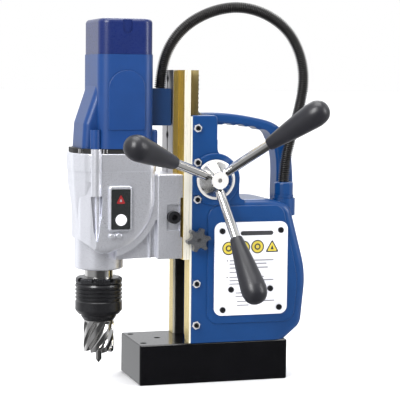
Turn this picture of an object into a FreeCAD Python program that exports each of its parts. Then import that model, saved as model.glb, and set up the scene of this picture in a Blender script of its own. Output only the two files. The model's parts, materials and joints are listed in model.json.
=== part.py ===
"""Magnetic drill press: an electromagnet base, a cast body, a rack-fed slide and a geared motor head.

Millimetres. The origin is the centre of the magnet's pole face, +Z up. +X points from the
spindle towards the carrying handle, and the feed handles are on the -Y side.
"""

import FreeCAD, Part
import math
import os

V = FreeCAD.Vector
X_AXIS = V(1, 0, 0)
Y_AXIS = V(0, 1, 0)
Z_AXIS = V(0, 0, 1)

# ---------------------------------------------------------------- driving dimensions

# electromagnet base
MAGNET_X = 80.0
MAGNET_Y = 40.0
MAGNET_H = 42.0
COIL_SLOT_H = 28.0
TOE_HOLES = [(-73.0, -27.0), (-73.0, 27.0), (-51.0, 0.0)]
TOE_HOLE_R = 3.4
TOE_HOLE_DEPTH = 12.0
CASTING_BOLTS = [(20.0, -28.0), (20.0, 28.0), (65.0, -28.0), (65.0, 28.0)]

# guide column and slide
COLUMN_FRONT = -26.0
COLUMN_BACK = 1.0
COLUMN_TOP = 277.0
COLUMN_CHAMFER = 4.4
STRIP_T = 2.0
SLIDE_BOTTOM = 129.0
SLIDE_TOP = 323.0
SLIDE_FRONT = -35.0
SLIDE_BACK = -28.1
DOVETAIL_BACK = -14.5
DOVETAIL_HALF = 17.64  # half width of the male dovetail at the column's front face
DOVETAIL_SLOPE = 0.375
GUIDE_GAP = 0.06
GIB_T = 4.0
BAR_FRONT = -41.5
BAR_HALF_FRONT = 20.5
BAR_HALF_BACK = 17.0
GIB_SCREW_X = -21.0
GIB_SCREW_Z = [61.0, 104.0, 191.0, 229.0, 264.0]
LOCK_Z = 150.0
GIB_SCREW_R = 2.5
LOCK_STUD_R = 3.0
NUT_SEAT_R = 5.0
GIB_SCREW_TIP_GAP = 1.15  # from the gib's sloping side, at the screw's axis
LOCK_TIP_GAP = 1.3

# feed rack and pinion
HUB_X = -2.0
HUB_Z = 211.5
FEED_MODULE = 1.5
PINION_TEETH = 12
PINION_HALF_W = 8.0
SHAFT_R = 7.0
BUSH_R = 10.0
BOSS_R = 27.0
HANDLE_ANGLES = [160.3, 40.3, -79.7]
HANDLE_TILT = 33.0
ROD_R = 5.0
KNOB_START = 69.0
KNOB_LENGTH = 73.0

# body casting
HOUSING_TOP = 190.0
HOUSING_OUTLINE = [  # corners (x, z, radius) as seen from -Y
    (-20, MAGNET_H, 0),
    (78.5, MAGNET_H, 0),
    (96.6, 57, 16),
    (102, 112, 100),
    (82.5, 184.5, 14),
    (60, HOUSING_TOP, 60),
    (-20, HOUSING_TOP, 0),
]
PAD_OUTLINE = [(-9, 61, 12), (86, 61, 12), (91, 105, 90), (73, 184, 12), (-9, 184, 12)]
HOUSING_EDGE_R = 8.0
SHOULDER_BACK = 31.0
NECK_TOP = 252.0
HANDLE_EDGE_R = 4.0
GRIP_R = 11.0
GRIP_DEPTH = 1.8
COVER_BOX = (-2.0, 78.0, 70.0, 167.0)
COVER_SCREWS = [(6.0, 158.0), (70.0, 158.0), (7.0, 76.0), (69.0, 77.0), (16.0, 97.0), (59.0, 97.0)]
PANEL_BOX = (8.0, 80.0, 72.0, 170.0)
GLAND_X = 79.5
GLAND_Y = -24.0
GLAND_TOP = 207.0

# drill head
SPINDLE_X = -114.0
BULGE_X = -121.0
BULGE_Z = 194.0
BULGE_R = 57.0
TERRACE_R = 62.3
MOTOR_X = -94.5
GEAR_MODULE = 1.0
ARMATURE_TEETH = 10
IDLER_BIG_TEETH = 28
IDLER_SMALL_TEETH = 16
SPINDLE_TEETH = 40
LID_BOTTOM = 220.0
LID_TOP = 238.0
MOTOR_BOTTOM = 243.0
CAP_BOTTOM = 338.0
CAP_TOP = 374.0
CHUCK_TOP = 109.0
CUTTER_TIP = 31.0
CUTTER_R = 15.75
SHANK_R = 9.525
PILOT_R = 3.17
PILOT_TIP = 19.0

# flexible conduit
CONDUIT_D = 11.5
CONDUIT_ROUTE = [
    (-50.0, 0.0, 304.0),
    (-48.4, -0.3, 327.0),
    (-38.2, -1.4, 353.0),
    (-18.7, -3.0, 373.4),
    (8.5, -5.3, 386.4),
    (36.0, -7.9, 390.0),
    (62.5, -10.6, 383.2),
    (85.5, -13.6, 367.0),
    (99.0, -16.5, 342.5),
    (103.2, -18.8, 315.0),
    (97.4, -20.9, 284.5),
    (86.4, -23.0, 251.0),
    (80.4, -24.0, 226.0),
    (79.5, -24.0, 207.0),
]
CONDUIT_SPLIT = 5  # the two lengths meet half way along the run that ends at this point


# ---------------------------------------------------------------- helpers


def box(x0, x1, y0, y1, z0, z1):
    return Part.makeBox(x1 - x0, y1 - y0, z1 - z0, V(x0, y0, z0))


def rod(r, x, y, z, length, axis=Z_AXIS):
    return Part.makeCylinder(r, length, V(x, y, z), axis)


def ring(r_out, r_in, x, y, z, length, axis=Z_AXIS):
    return rod(r_out, x, y, z, length, axis).cut(rod(r_in, x, y, z, length, axis))


def cone(r0, r1, x, y, z, length, axis=Z_AXIS):
    return Part.makeCone(r0, r1, length, V(x, y, z), axis)


def rounded_wire(corners, place):
    """A closed wire through corners (u, v, radius). place turns (u, v) into a point."""
    points = [V(u, v, 0) for u, v, r in corners]
    count = len(points)
    entries = []
    for i, (u, v, r) in enumerate(corners):
        p = points[i]
        a = (points[i - 1] - p).normalize()
        b = (points[(i + 1) % count] - p).normalize()
        half = a.getAngle(b) / 2
        if r == 0 or half > math.pi / 2 - 1e-4:
            entries.append((p, None, p))
            continue
        cut = r / math.tan(half)
        middle = (a + b).normalize()
        centre = p + middle * (r / math.sin(half))
        entries.append((p + a * cut, centre - middle * r, p + b * cut))
    edges = []
    for i, (start, mid, end) in enumerate(entries):
        if mid is not None:
            edges.append(Part.Arc(*[place(q) for q in (start, mid, end)]).toShape())
        following = entries[(i + 1) % count][0]
        if (following - end).Length > 1e-6:
            edges.append(Part.LineSegment(place(end), place(following)).toShape())
    return Part.Wire(edges)


def prism_z(corners, z0, z1):
    wire = rounded_wire(corners, lambda q: V(q.x, q.y, z0))
    return Part.Face(wire).extrude(V(0, 0, z1 - z0))


def prism_y(corners, y0, y1):
    wire = rounded_wire(corners, lambda q: V(q.x, y0, q.y))
    return Part.Face(wire).extrude(V(0, y1 - y0, 0))


def block_z(x0, x1, y0, y1, z0, z1, r):
    corners = [(x0, y0, r), (x1, y0, r), (x1, y1, r), (x0, y1, r)]
    return prism_z(corners, z0, z1)


def block_y(x0, x1, z0, z1, y0, y1, r):
    corners = [(x0, z0, r), (x1, z0, r), (x1, z1, r), (x0, z1, r)]
    return prism_y(corners, y0, y1)


def revolve(profile, x, y, z, axis):
    """Turns (radius, along) points about an axis through (x, y, z)."""
    wire = Part.makePolygon([V(r, 0, a) for r, a in profile + profile[:1]])
    solid = Part.Face(wire).revolve(V(0, 0, 0), Z_AXIS, 360)
    solid.Placement = FreeCAD.Placement(V(x, y, z), FreeCAD.Rotation(Z_AXIS, axis))
    return solid


def edges_where(shape, test):
    return [e for e in shape.Edges if test(e.BoundBox)]


def join(first, *others):
    return first.multiFuse(list(others)).removeSplitter()


def screw(head_r, head_h, shank_r, length, x, y, z, axis, socket_r=0.0):
    """A screw whose head's underside is at the point. axis points out of the head."""
    head = rod(head_r, x, y, z, head_h, axis)
    shank = rod(shank_r, x, y, z, length, axis * -1)
    result = head.fuse(shank)
    if socket_r > 0:
        top = V(x, y, z) + axis * head_h
        socket = Part.makeCylinder(socket_r, head_h * 0.6, top, axis * -1)
        result = result.cut(socket)
    return result


def involute_flank(base_r, r):
    """The involute's polar angle at radius r."""
    if r <= base_r:
        return 0.0
    t = math.sqrt((r / base_r) ** 2 - 1)
    return t - math.atan(t)


def gear(teeth, module, z0, z1, x, y, phase=0.0, backlash=0.12):
    """A spur gear about Z with involute flanks. phase is the first tooth's angle in degrees."""
    pitch_r = teeth * module / 2
    base_r = pitch_r * math.cos(math.radians(20))
    tip_r = pitch_r + 0.8 * module
    root_r = pitch_r - 1.15 * module
    half = (math.pi / 2 - backlash / module) / teeth + involute_flank(base_r, pitch_r)
    radii = [max(base_r, root_r) + (tip_r - max(base_r, root_r)) * i / 3 for i in range(4)]
    points = []
    for k in range(teeth):
        middle = math.radians(phase) + 2 * math.pi * k / teeth
        flank = [(r, half - involute_flank(base_r, r)) for r in radii]
        side = [(root_r, half)] + flank
        for r, a in side:
            points.append(V(x + r * math.cos(middle - a), y + r * math.sin(middle - a), z0))
        for r, a in reversed(side):
            points.append(V(x + r * math.cos(middle + a), y + r * math.sin(middle + a), z0))
    return Part.Face(Part.makePolygon(points + points[:1])).extrude(V(0, 0, z1 - z0))


def turned(shape, axis, degrees, centre):
    return shape.rotated(centre, axis, degrees)


PARTS = {}


def keep(name, *solids):
    """One solid is kept as it is. Several are kept as a group of separate solids."""
    if len(solids) == 1:
        PARTS[name] = solids[0]
    else:
        PARTS[name] = Part.makeCompound(list(solids))


# ---------------------------------------------------------------- electromagnet base


def make_magnet():
    shell = box(-MAGNET_X, MAGNET_X, -MAGNET_Y, MAGNET_Y, 0, MAGNET_H)
    shell = shell.makeChamfer(1.2, shell.Edges)
    slot = block_z(-62, 62, -28, 28, -1, COIL_SLOT_H, 8)
    core = block_z(-46, 46, -14, 14, -2, COIL_SLOT_H + 1, 3)
    shell = shell.cut(slot.cut(core))
    for x, y in TOE_HOLES:
        shell = shell.cut(rod(TOE_HOLE_R, x, y, MAGNET_H - TOE_HOLE_DEPTH, TOE_HOLE_DEPTH))
    for x, y in CASTING_BOLTS:
        shell = shell.cut(rod(3.0, x, y, MAGNET_H - 12, 12))
    shell = shell.cut(rod(4, 42, 21, COIL_SLOT_H - 1, MAGNET_H))
    keep("magnet_shell", shell)
    coil = block_z(-61.6, 61.6, -27.6, 27.6, 4, 27.5, 7.6)
    keep("magnet_coil", coil.cut(block_z(-46.4, 46.4, -14.4, 14.4, 3, 28, 3.4)))
    potting = block_z(-61.95, 61.95, -27.95, 27.95, 0.4, 3.7, 7.9)
    keep("magnet_potting", potting.cut(block_z(-46.05, 46.05, -14.05, 14.05, 0, 4, 3)))
    bolts = [screw(5, 6, 3.0, 18, x, y, 50, Z_AXIS, 2.5) for x, y in CASTING_BOLTS]
    keep("casting_bolts", *bolts)


# ---------------------------------------------------------------- body casting


def dovetail_half(x):
    return DOVETAIL_HALF + (x - COLUMN_FRONT) * DOVETAIL_SLOPE


def housing_block():
    """The electronics housing, with its bulged rear side and soft edges."""
    block = prism_y(HOUSING_OUTLINE, -40, 40)
    soft = edges_where(block, lambda b: b.YLength < 1 and b.ZMax > 43 and b.XMax > 0)
    return block.makeFillet(HOUSING_EDGE_R, soft)


def cover_pad():
    """The low raised face around the access cover. Its rear edge follows the housing's side."""
    pad = prism_y(PAD_OUTLINE, -41.5, -36)
    return pad.makeFillet(1.2, edges_where(pad, lambda b: b.YMax < -41))


def handle_bar():
    """The carrying handle with finger grips under its top bar."""
    outer = Part.BSplineCurve()
    outer.interpolate([V(-10, 0, 279), V(22, 0, 278.5), V(52, 0, 274), V(76, 0, 266), V(88, 0, 253),
                       V(93, 0, 232), V(95, 0, 205), V(95.5, 0, 178)])
    inner = Part.BSplineCurve()
    inner.interpolate([V(77.5, 0, 178), V(76.5, 0, 215), V(74.5, 0, 238), V(69, 0, 252), V(58, 0, 260.3),
                       V(40, 0, 264.5), V(14, 0, 266.5), V(-10, 0, 266)])
    edges = [outer.toShape(),
             Part.LineSegment(V(95.5, 0, 178), V(77.5, 0, 178)).toShape(),
             inner.toShape(),
             Part.LineSegment(V(-10, 0, 266), V(-10, 0, 279)).toShape()]
    bar = Part.Face(Part.Wire(edges)).extrude(V(0, 26, 0))
    bar.translate(V(0, -13, 0))
    bar = bar.makeFillet(HANDLE_EDGE_R, edges_where(bar, lambda b: b.YLength < 1 and b.XLength > 40))
    grips = [V(64, 0, 258), V(53, 0, 262), V(40, 0, 264.5), V(27, 0, 266), V(14, 0, 266.5)]
    for right, left in zip(grips, grips[1:]):
        middle = (right + left) * 0.5
        bar = bar.cut(rod(GRIP_R, middle.x, -14, middle.z + GRIP_DEPTH - GRIP_R, 28, Y_AXIS))
    return bar


def make_casting():
    column = box(COLUMN_FRONT, COLUMN_BACK, -40, 40, MAGNET_H, COLUMN_TOP)
    column = column.makeFillet(4, edges_where(column, lambda b: b.XMin > 0 and b.ZMin > 276))
    column = column.makeChamfer(
        COLUMN_CHAMFER, edges_where(column, lambda b: b.XMax < COLUMN_FRONT + 1 and b.YMin > 39
                                    and b.ZLength > 100))
    column = column.makeFillet(
        1.5, edges_where(column, lambda b: b.ZMin > 250 and b.XLength > 10)
    )
    boss = rod(BOSS_R, HUB_X, -42.5, HUB_Z, 82.5, Y_AXIS)
    boss = boss.makeFillet(1.5, edges_where(boss, lambda b: b.YMax < -42))
    boss = boss.cut(box(-35, COLUMN_FRONT, -45, 45, HUB_Z - 30, HUB_Z + 30))
    shoulder = prism_y([(-10, 180, 0), (SHOULDER_BACK, 180, 0), (SHOULDER_BACK, HOUSING_TOP, 0),
                        (25, HOUSING_TOP, 5), (25, HUB_Z, 0), (-10, HUB_Z, 0)], -40, 40)
    neck = prism_y([(-10, 225, 0), (14, 230, 0), (COLUMN_BACK, 239, 8), (COLUMN_BACK, NECK_TOP, 0),
                    (-10, NECK_TOP, 0)], -40, 40)
    gland_boss = rod(12.3, GLAND_X, GLAND_Y, 172, HOUSING_TOP - 172)
    casting = join(housing_block(), column, boss, shoulder, neck, handle_bar(), cover_pad(),
                   gland_boss)

    cavity = block_y(8, 77, 50, 176, -36, 36, 6)
    hatch = block_y(12, 64, 84, 152, -43, -30, 3)
    rear_hatch = block_y(14, 74, 78, 164, 30, 41, 3)
    casting = casting.cut(cavity).cut(hatch).cut(rear_hatch)

    near = GUIDE_GAP + GIB_T
    front, back = COLUMN_FRONT - 1, DOVETAIL_BACK + 0.4
    channel = prism_z([(front, -dovetail_half(front) - near, 0),
                       (back, -dovetail_half(back) - near, 0),
                       (back, dovetail_half(back) + GUIDE_GAP, 0),
                       (front, dovetail_half(front) + GUIDE_GAP, 0)], MAGNET_H - 1, COLUMN_TOP + 3)
    rack_pocket = box(-15, -8.8, -9, 9, MAGNET_H - 1, COLUMN_TOP + 3)
    pinion_pocket = rod(11.4, HUB_X, -9, HUB_Z, 18, Y_AXIS)
    shaft_bore = rod(BUSH_R, HUB_X, -44, HUB_Z, 85, Y_AXIS)
    casting = casting.cut(channel).cut(rack_pocket).cut(pinion_pocket).cut(shaft_bore)

    for z in GIB_SCREW_Z:
        casting = casting.cut(rod(GIB_SCREW_R, GIB_SCREW_X, -41, z, 20, Y_AXIS))
        casting = casting.cut(rod(NUT_SEAT_R, GIB_SCREW_X, -44, z, 4, Y_AXIS))
    casting = casting.cut(rod(LOCK_STUD_R + 0.05, GIB_SCREW_X, -41, LOCK_Z, 20, Y_AXIS))
    for x, y in CASTING_BOLTS:
        casting = casting.cut(rod(3.1, x, y, MAGNET_H - 1, 10))
    for x, z in COVER_SCREWS[:4]:
        casting = casting.cut(rod(1.6, x, -43, z, 8, Y_AXIS))
    for x, z in panel_screws():
        casting = casting.cut(rod(1.6, x, 34, z, 8, Y_AXIS))
    casting = casting.cut(rod(4.6, GLAND_X, GLAND_Y, 181, 11)).cut(rod(3.2, GLAND_X, GLAND_Y, 164, 18))
    casting = casting.cut(rod(6, 66, 35, 60, 6, Y_AXIS))
    casting = casting.cut(rod(4, 42, 21, MAGNET_H - 1, 10))
    # the one casting is kept as three blocks: the column with its boss, the housing and the handle
    upright = box(COLUMN_FRONT - 1, COLUMN_BACK, -60, 60, MAGNET_H, COLUMN_TOP + 3)
    upright = upright.fuse(box(0, SHOULDER_BACK + 1, -60, 60, HOUSING_TOP, NECK_TOP))
    keep("body_column", casting.common(upright))
    rest = casting.cut(upright)
    keep("body_housing", rest.common(box(0, 120, -60, 60, MAGNET_H, HOUSING_TOP)))
    keep("body_handle", rest.common(box(0, 120, -60, 60, HOUSING_TOP, COLUMN_TOP + 3)))


def panel_screws():
    x0, x1, z0, z1 = PANEL_BOX
    return [(x, z) for x in (x0 + 4, x1 - 4) for z in (z0 + 4, z1 - 4)]


def make_guides():
    front = COLUMN_FRONT - STRIP_T
    near = box(front, COLUMN_FRONT, -40, -22, MAGNET_H + 0.2, COLUMN_TOP - 1)
    bevel = prism_y([(0, 0, 0), (8, 0, 0), (0, 8, 0)], 0, STRIP_T + 2)
    bevel = turned(bevel, Z_AXIS, -90, V(0, 0, 0))
    bevel.translate(V(front - 1, -22, MAGNET_H))
    near = near.cut(bevel)
    far = box(front, COLUMN_FRONT, 21, 40 - COLUMN_CHAMFER, MAGNET_H + 0.2, COLUMN_TOP - 1)
    keep("guide_strips", near, far)
    front, back = COLUMN_FRONT, DOVETAIL_BACK + 0.4
    gib = prism_z([(front, -dovetail_half(front) - GUIDE_GAP - GIB_T, 0),
                   (back, -dovetail_half(back) - GUIDE_GAP - GIB_T, 0),
                   (back, -dovetail_half(back) - GUIDE_GAP, 0),
                   (front, -dovetail_half(front) - GUIDE_GAP, 0)], MAGNET_H + 0.5, COLUMN_TOP - 2)
    keep("gib_strip", gib)
    tip = -dovetail_half(GIB_SCREW_X) - GUIDE_GAP - GIB_T - GIB_SCREW_TIP_GAP
    screws = []
    nuts = []
    for z in GIB_SCREW_Z:
        stud = rod(GIB_SCREW_R, GIB_SCREW_X, -44.4, z, tip + 44.4, Y_AXIS)
        screws.append(stud.cut(rod(1.3, GIB_SCREW_X, -45, z, 3, Y_AXIS)))
        nut = hexagon_y(4.4, GIB_SCREW_X, z, -43.2, -40.0)
        nuts.append(nut.cut(rod(GIB_SCREW_R, GIB_SCREW_X, -44, z, 5, Y_AXIS)))
    keep("gib_set_screws", *screws)
    keep("gib_lock_nuts", *nuts)


def hexagon_y(r, x, z, y0, y1):
    corners = []
    for k in range(6):
        a = math.radians(60 * k + 15)
        corners.append((x + r * math.cos(a), z + r * math.sin(a), 0))
    return prism_y(corners, y0, y1)


def make_covers():
    x0, x1, z0, z1 = COVER_BOX
    cover = block_y(x0, x1, z0, z1, -43.0, -41.55, 8)
    screws = []
    for x, z in COVER_SCREWS:
        cover = cover.cut(rod(1.7, x, -44, z, 4, Y_AXIS))
        screws.append(screw(3.0, 1.6, 1.55, 7.5, x, -43.05, z, Y_AXIS * -1, 1.2))
    keep("access_cover", cover)

    x0, x1, z0, z1 = PANEL_BOX
    panel = block_y(x0, x1, z0, z1, 40.05, 43, 6)
    rim = block_y(x0 + 9, x1 - 9, z0 + 14, z1 - 12, 42, 45, 5)
    panel = panel.fuse(rim)
    panel = panel.cut(block_y(21, 37, 124, 152, 38, 46, 1))
    panel = panel.cut(rod(9.3, 56, 38, 140, 10, Y_AXIS)).cut(rod(9.3, 56, 38, 112, 10, Y_AXIS))
    panel = panel.cut(rod(4, 29, 38, 108, 10, Y_AXIS))
    for x, z in panel_screws():
        panel = panel.cut(rod(1.7, x, 39, z, 8, Y_AXIS))
        screws.append(screw(3.0, 1.6, 1.55, 7.5, x, 43.05, z, Y_AXIS, 1.2))
    keep("control_panel", panel)
    keep("cover_screws", *screws)

    rocker = block_y(21.6, 36.4, 125.4, 150.6, 38, 48, 1)
    hollow = rod(26, 20, 70.5, 138, 18, X_AXIS)
    keep("magnet_rocker", rocker.cut(hollow))
    start = rod(9.0, 56, 34, 140, 13, Y_AXIS)
    keep("start_button", start.makeFillet(1.2, edges_where(start, lambda b: b.YMin > 46)))
    stop = rod(9.0, 56, 34, 112, 15, Y_AXIS)
    keep("stop_button", stop.makeFillet(2.0, edges_where(stop, lambda b: b.YMin > 48)))
    lamp = rod(3.95, 29, 38, 108, 9, Y_AXIS)
    keep("magnet_lamp", lamp.makeFillet(2.0, edges_where(lamp, lambda b: b.YMin > 46)))

    board = box(14, 76, -14, -12.4, 86, 168)
    parts = [box(20, 44, -12.5, 4, 130, 150), box(52, 60, -12.5, 6, 92, 124)]
    parts += [rod(5, 24 + 14 * i, -12.5, 104, 18, Y_AXIS) for i in range(2)]
    parts += [rod(2.6, x, -41, z, 28, Y_AXIS) for x, z in COVER_SCREWS[4:]]
    board = join(board, *parts)
    for x, z in COVER_SCREWS[4:]:
        board = board.cut(rod(1.6, x, -42, z, 9, Y_AXIS))
    keep("circuit_board", board)

    gland = hexagon_y(9, 66, 60, 40.05, 45).fuse(rod(7.2, 66, 45, 60, 9, Y_AXIS))
    gland = gland.fuse(rod(5.9, 66, 34, 60, 8, Y_AXIS))
    gland = gland.cut(rod(3.8, 66, 33, 60, 24, Y_AXIS))
    keep("mains_gland", gland)


def hexagon_z(r, x, y, z0, z1):
    corners = []
    for k in range(6):
        a = math.radians(60 * k)
        corners.append((x + r * math.cos(a), y + r * math.sin(a), 0.8))
    return prism_z(corners, z0, z1)


def make_conduit_gland():
    base = rod(10.6, GLAND_X, GLAND_Y, HOUSING_TOP, 3.4)
    thread = rod(7.2, GLAND_X, GLAND_Y, HOUSING_TOP, 11)
    spigot = rod(4.5, GLAND_X, GLAND_Y, 182, 9)
    body = join(base, thread, spigot)
    keep("conduit_gland", body.cut(rod(3.2, GLAND_X, GLAND_Y, 181, 21)))
    nut = rod(10.2, GLAND_X, GLAND_Y, HOUSING_TOP + 3.5, 13.5)
    nut = nut.makeFillet(2.5, edges_where(nut, lambda b: b.ZMin > GLAND_TOP - 0.5))
    nut = nut.common(hexagon_z(11.2, GLAND_X, GLAND_Y, 190, 210))
    nut = nut.cut(rod(7.25, GLAND_X, GLAND_Y, 190, 11.2))
    keep("gland_nut", nut.cut(rod(5.0, GLAND_X, GLAND_Y, 195, 13)))


# ---------------------------------------------------------------- feed


def make_feed_shaft():
    front = ring(BUSH_R, SHAFT_R + 0.05, HUB_X, -42.4, HUB_Z, 31, Y_AXIS)
    rear = ring(BUSH_R, SHAFT_R + 0.05, HUB_X, 9.5, HUB_Z, 30.5, Y_AXIS)
    keep("feed_bushes", front, rear)

    teeth = gear(PINION_TEETH, FEED_MODULE, -PINION_HALF_W, PINION_HALF_W, 0, 0, 180.0)
    teeth = turned(teeth, X_AXIS, 90, V(0, 0, 0))
    teeth.translate(V(HUB_X, 0, HUB_Z))
    shaft = rod(SHAFT_R, HUB_X, -50, HUB_Z, 89, Y_AXIS)
    keep("pinion_shaft", join(teeth, shaft))

    hub = revolve([(0, 0), (20.5, 0), (20.5, 2.2), (18.6, 3.2), (18.0, 3.2), (9.4, 15.0),
                   (8.8, 16.2), (0, 16.2)], HUB_X, -42.9, HUB_Z, Y_AXIS * -1)
    hub = hub.cut(rod(SHAFT_R, HUB_X, -50, HUB_Z, 20, Y_AXIS))
    hub = hub.cut(rod(2.2, HUB_X, -60, HUB_Z, 5, Y_AXIS))
    for angle in HANDLE_ANGLES:
        hub = hub.cut(handle_rod(angle))
    keep("feed_hub", hub)
    for i, angle in enumerate(HANDLE_ANGLES):
        keep(f"handle_rod_{i + 1}", handle_rod(angle))
        keep(f"handle_knob_{i + 1}", handle_knob(angle))


def handle_direction(angle):
    tilt = math.radians(HANDLE_TILT)
    a = math.radians(angle)
    return V(math.cos(a) * math.cos(tilt), -math.sin(tilt), math.sin(a) * math.cos(tilt))


def handle_rod(angle):
    d = handle_direction(angle)
    start = V(HUB_X, -43, HUB_Z) + d * 12.5
    return Part.makeCylinder(ROD_R, 98, start, d)


def handle_knob(angle):
    """A tapered grip with a full, round outer end."""
    d = handle_direction(angle)
    length = KNOB_LENGTH
    big = 13.2
    profile = [V(0, 0, 0), V(6.2, 0, 0), V(6.8, 0, 1.0)]
    side = Part.BSplineCurve()
    side.interpolate([V(6.8, 0, 1.0), V(9.2, 0, 20), V(11.9, 0, 42), V(big, 0, 58),
                      V(11.0, 0, 67.5), V(6.0, 0, 72.0), V(0, 0, length)])
    edges = [Part.LineSegment(profile[0], profile[1]).toShape(),
             Part.LineSegment(profile[1], profile[2]).toShape(),
             side.toShape(),
             Part.LineSegment(V(0, 0, length), V(0, 0, 0)).toShape()]
    knob = Part.Face(Part.Wire(edges)).revolve(V(0, 0, 0), Z_AXIS, 360)
    start = V(HUB_X, -43, HUB_Z) + d * KNOB_START
    knob.Placement = FreeCAD.Placement(start, FreeCAD.Rotation(Z_AXIS, d))
    return knob.cut(handle_rod(angle))


def make_lock_knob():
    """Six rounded lobes on a threaded stud that presses the gib."""
    knob = rod(9.3, GIB_SCREW_X, -51.0, LOCK_Z, 8.6, Y_AXIS)
    lobes = []
    for k in range(6):
        a = math.radians(60 * k + 10)
        x, z = GIB_SCREW_X + 9.6 * math.cos(a), LOCK_Z + 9.6 * math.sin(a)
        lobes.append(rod(2.9, x, -51.0, z, 8.6, Y_AXIS))
    knob = join(knob, *lobes)
    for k in range(6):
        a = math.radians(60 * k + 40)
        x, z = GIB_SCREW_X + 12.2 * math.cos(a), LOCK_Z + 12.2 * math.sin(a)
        knob = knob.cut(rod(4.2, x, -52, z, 11, Y_AXIS))
    knob = knob.cut(rod(2.2, GIB_SCREW_X, -52, LOCK_Z, 3, Y_AXIS))
    collar = rod(5.5, GIB_SCREW_X, -42.5, LOCK_Z, 2.0, Y_AXIS)
    knob = join(knob, collar).cut(rod(LOCK_STUD_R, GIB_SCREW_X, -48, LOCK_Z, 12, Y_AXIS))
    keep("lock_knob", knob)
    tip = -dovetail_half(GIB_SCREW_X) - GUIDE_GAP - GIB_T - LOCK_TIP_GAP
    keep("lock_stud", rod(LOCK_STUD_R, GIB_SCREW_X, -47.95, LOCK_Z, tip + 47.95, Y_AXIS))


# ---------------------------------------------------------------- slide


def make_slide():
    h = dovetail_half
    plate = prism_z([(SLIDE_FRONT, -40, 0.8), (SLIDE_BACK, -40, 0.4), (SLIDE_BACK, -h(SLIDE_BACK), 0),
                     (DOVETAIL_BACK, -h(DOVETAIL_BACK), 0), (DOVETAIL_BACK, h(DOVETAIL_BACK), 0),
                     (SLIDE_BACK, h(SLIDE_BACK), 0), (SLIDE_BACK, 40, 0.4), (SLIDE_FRONT, 40, 0.8)],
                    SLIDE_BOTTOM, SLIDE_TOP)
    plate = plate.cut(box(-16, -14, -8.05, 8.05, SLIDE_BOTTOM - 1, SLIDE_TOP + 1))
    bar = prism_z([(BAR_FRONT, -BAR_HALF_FRONT, 0.5), (SLIDE_FRONT - 0.02, -BAR_HALF_BACK, 0),
                   (SLIDE_FRONT - 0.02, BAR_HALF_BACK, 0), (BAR_FRONT, BAR_HALF_FRONT, 0.5)],
                  SLIDE_BOTTOM, SLIDE_TOP)
    bar = bar.cut(box(BAR_FRONT - 1, BAR_FRONT + 1.6, -1.6, 1.6, SLIDE_BOTTOM - 1, SLIDE_TOP + 1))
    screws = []
    for z in (140.0, 198.0, 256.0, 314.0):
        bar = bar.cut(rod(4.2, BAR_FRONT - 1, 0, z, 4.5, X_AXIS))
        bar = bar.cut(rod(2.5, BAR_FRONT, 0, z, 8, X_AXIS))
        plate = plate.cut(rod(2.5, SLIDE_FRONT - 1, 0, z, 14, X_AXIS))
        screws.append(screw(4.1, 2.6, 2.45, 15, BAR_FRONT + 3.5, 0, z, X_AXIS * -1, 1.5))
    keep("slide_plate", plate)
    keep("slide_bar", bar)
    keep("slide_screws", *screws)

    pitch = math.pi * FEED_MODULE
    pitch_x = HUB_X - PINION_TEETH * FEED_MODULE / 2
    tip_x = pitch_x + 0.8 * FEED_MODULE
    root_x = pitch_x - 1.15 * FEED_MODULE
    slope = math.tan(math.radians(20))
    quarter = pitch / 4 - 0.12
    points = [V(-16, -8, SLIDE_BOTTOM), V(root_x, -8, SLIDE_BOTTOM)]
    first = math.ceil((SLIDE_BOTTOM + 3 - HUB_Z) / pitch - 0.5)
    last = math.floor((SLIDE_TOP - 3 - HUB_Z) / pitch - 0.5)
    for k in range(first, last + 1):
        z = HUB_Z + (k + 0.5) * pitch
        wide = quarter + (pitch_x - root_x) * slope
        thin = quarter - (tip_x - pitch_x) * slope
        points += [V(root_x, -8, z - wide), V(tip_x, -8, z - thin)]
        points += [V(tip_x, -8, z + thin), V(root_x, -8, z + wide)]
    points += [V(root_x, -8, SLIDE_TOP), V(-16, -8, SLIDE_TOP)]
    rack = Part.Face(Part.makePolygon(points + points[:1])).extrude(V(0, 16, 0))
    keep("feed_rack", rack)


# ---------------------------------------------------------------- drill head


def idler_place():
    """The idler's axis, found from the two centre distances."""
    d = MOTOR_X - SPINDLE_X
    to_spindle = (IDLER_SMALL_TEETH + SPINDLE_TEETH) * GEAR_MODULE / 2
    to_motor = (IDLER_BIG_TEETH + ARMATURE_TEETH) * GEAR_MODULE / 2
    along = (d * d + to_spindle ** 2 - to_motor ** 2) / (2 * d)
    return SPINDLE_X + along, math.sqrt(to_spindle ** 2 - along ** 2)


def gear_case_bulge():
    """The rounded front of the gear case: its lower right edge is one large arc."""
    cx, cz = BULGE_X, BULGE_Z
    r = BULGE_R
    bottom = V(cx, -41, cz - r)
    side = V(cx + r, -41, cz)
    mid = V(cx + r * math.cos(math.radians(-45)), -41, cz + r * math.sin(math.radians(-45)))
    edges = [Part.Arc(bottom, mid, side).toShape(),
             Part.LineSegment(side, V(cx + r, -41, LID_BOTTOM)).toShape(),
             Part.LineSegment(V(cx + r, -41, LID_BOTTOM), V(-139, -41, LID_BOTTOM)).toShape(),
             Part.LineSegment(V(-139, -41, LID_BOTTOM), V(-139, -41, 150)).toShape(),
             Part.LineSegment(V(-139, -41, 150), bottom).toShape()]
    bulge = Part.Face(Part.Wire(edges)).extrude(V(0, 82, 0))
    plan = [(-139.5, -18, 20), (-128, -43, 14), (-60, -43, 10), (-60, 43, 10),
            (-128, 43, 14), (-139.5, 18, 20)]
    bulge = bulge.common(prism_z(plan, 120, 240))
    front = edges_where(bulge, lambda b: b.YLength < 1 and b.ZMax < 196 and b.XMin > -125)
    return bulge.makeFillet(8, front)


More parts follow.
